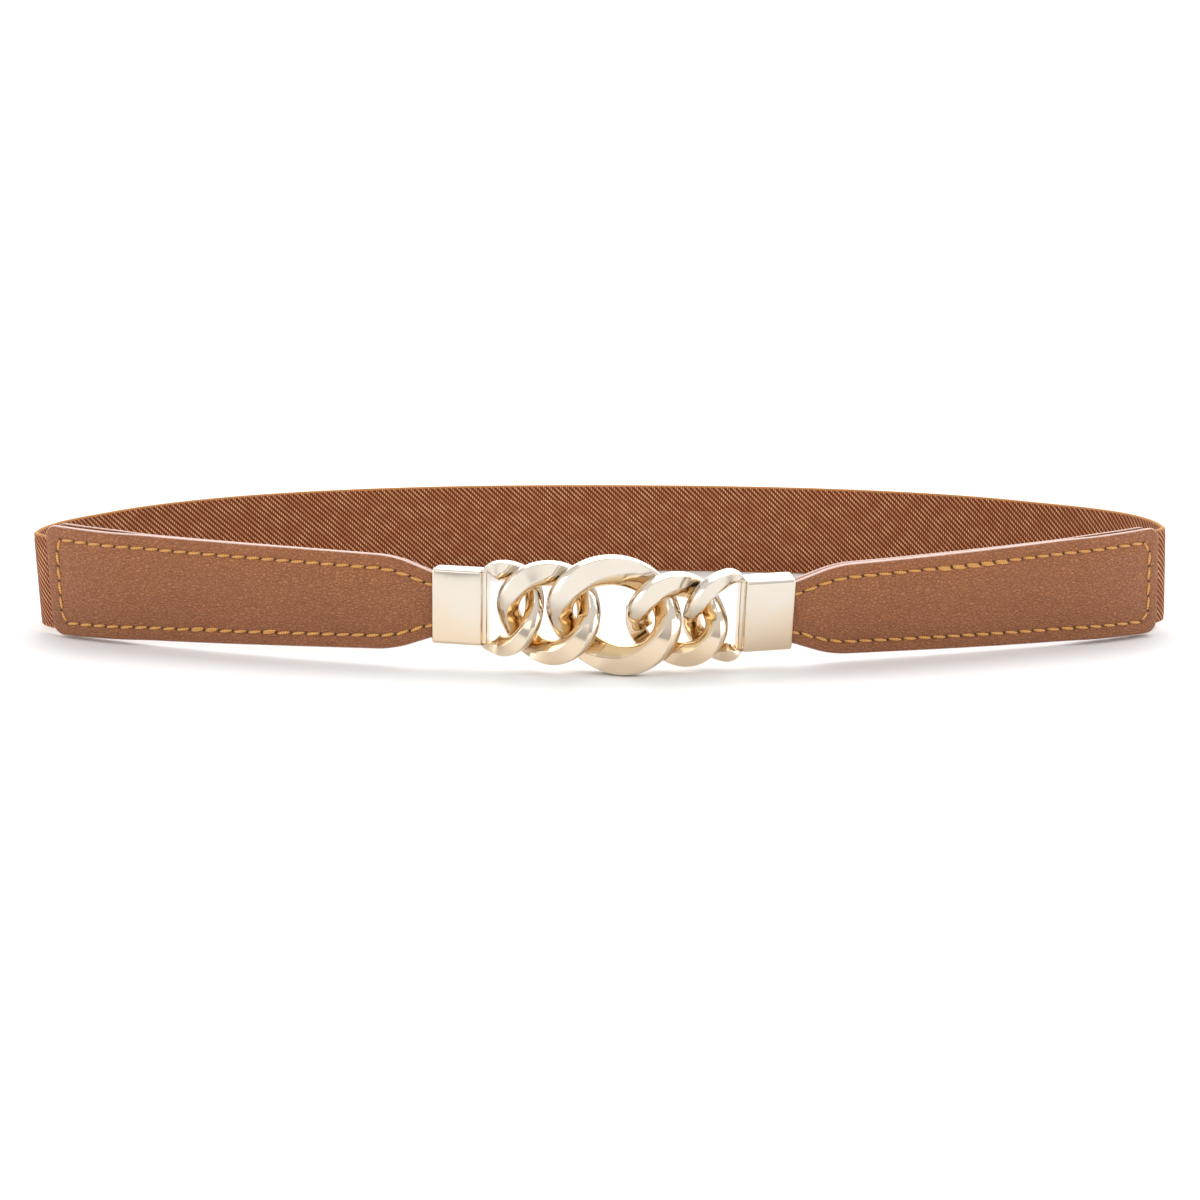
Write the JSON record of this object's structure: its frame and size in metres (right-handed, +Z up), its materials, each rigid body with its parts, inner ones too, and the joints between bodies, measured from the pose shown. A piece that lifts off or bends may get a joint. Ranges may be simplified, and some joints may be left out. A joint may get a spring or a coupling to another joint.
{
  "type": "elastic stretch belt",
  "caption": "Closed stretch waist belt standing on its edge: woven elastic band, tapered stitched leather tabs and a hook buckle of light gold curb links.",
  "frame": {"origin": "middle of the loop, on the surface that the belt stands on", "axes": "+X to the wearer's left along the belt's length, -Y to the front where the buckle is, +Z up across the band's width"},
  "size_m": [0.2963, 0.1174, 0.0302],
  "materials": {
    "elastic": "twill weave, dark brown ground with raised tan threads",
    "leather": "fine pebble grain with a soft sheen",
    "gold": "polished light gold plating on cast metal"
  },
  "bodies": {
    "root": {"elastic_band": "elastic", "tab_face_left": "leather", "tab_lining_left": "leather", "tab_face_right": "leather", "tab_lining_right": "leather", "end_cap_left": "gold", "end_cap_right": "gold", "side_link": "gold", "centre_link": "gold", "hook_link": "gold"}
  },
  "joints": []
}
